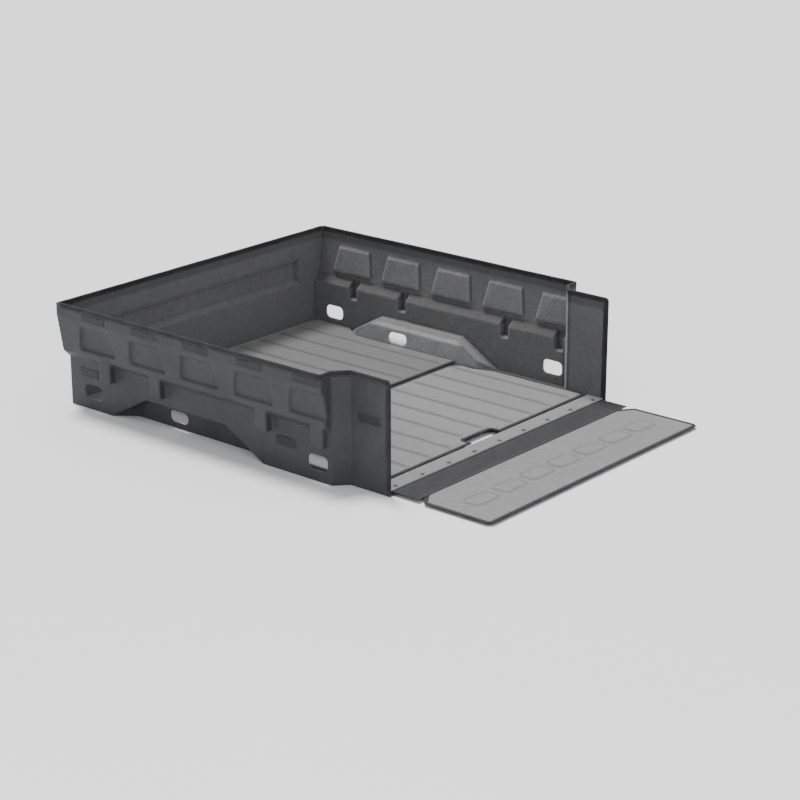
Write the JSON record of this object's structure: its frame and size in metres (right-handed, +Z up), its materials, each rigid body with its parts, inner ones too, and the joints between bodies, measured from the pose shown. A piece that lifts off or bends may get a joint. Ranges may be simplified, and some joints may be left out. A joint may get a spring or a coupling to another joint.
{
  "type": "truck bed liner",
  "caption": "Moulded carpet liner for a short pickup bed: floor mats, bulkhead and side panels with wheel-arch humps, a lifting trunk-lid mat, a tailgate mat and a hinged gap flap.",
  "frame": {"origin": "bottom centre of the whole liner's box with the tailgate mat open; z = 0 is the underside that lies on the bed floor", "axes": "+X to the truck's right side, +Y to the cab, +Z up"},
  "size_m": [1.532, 2.055, 0.4314],
  "materials": {
    "floor_carpet": "matte",
    "wall_carpet": "matte",
    "foam": "matte",
    "binding_tape": "matte",
    "hook_tape": "matte",
    "flap_rubber": "matte",
    "rivet_plastic": "matte"
  },
  "bodies": {
    "tub": {"front_floor_mat": "floor_carpet", "sill_mat": "floor_carpet", "right_side_panel": "wall_carpet", "left_side_panel": "wall_carpet", "bulkhead_panel": "wall_carpet", "right_tuck_strip": "wall_carpet", "left_tuck_strip": "wall_carpet", "bulkhead_tuck_strip": "wall_carpet", "front_floor_foam": "foam", "front_edge_foam": "foam", "sill_foam": "foam", "right_side_binding": "binding_tape", "left_side_binding": "binding_tape", "bulkhead_binding": "binding_tape", "front_floor_binding": "binding_tape", "right_hook_tapes": "hook_tape", "left_hook_tapes": "hook_tape", "right_corner_tapes": "hook_tape", "left_corner_tapes": "hook_tape", "bulkhead_hook_tapes": "hook_tape", "floor_hook_tapes": "hook_tape", "flap_anchor": "flap_rubber", "anchor_rivets": "rivet_plastic"},
    "trunk_lid": {"trunk_lid_mat": "floor_carpet", "trunk_lid_foam": "foam", "trunk_lid_edge_foam": "foam", "trunk_lid_binding": "binding_tape", "trunk_lid_hook_tapes": "hook_tape"},
    "tailgate": {"tailgate_mat": "floor_carpet", "tailgate_foam": "foam", "tailgate_binding": "binding_tape", "tailgate_hook_tapes": "hook_tape"},
    "gap_flap": {"gap_flap": "flap_rubber"}
  },
  "joints": [
    {"name": "trunk_lid_hinge", "type": "hinge", "parent": "tub", "child": "trunk_lid", "pos_m": [0, 0.1485, 0.022], "axis": [-1, 0, 0], "range_deg": [0, 62]},
    {"name": "tailgate_hinge", "type": "hinge", "parent": "tub", "child": "tailgate", "pos_m": [0, -0.6475, -0.03], "axis": [-1, 0, 0], "range_deg": [0, 90]},
    {"name": "flap_hinge", "type": "hinge", "parent": "tub", "child": "gap_flap", "pos_m": [0, -0.5935, 0.014], "axis": [-1, 0, 0], "range_deg": [0, 90]}
  ],
  "couplings": [
    {"joint": "flap_hinge", "follows": "tailgate_hinge", "ratio": 1}
  ]
}
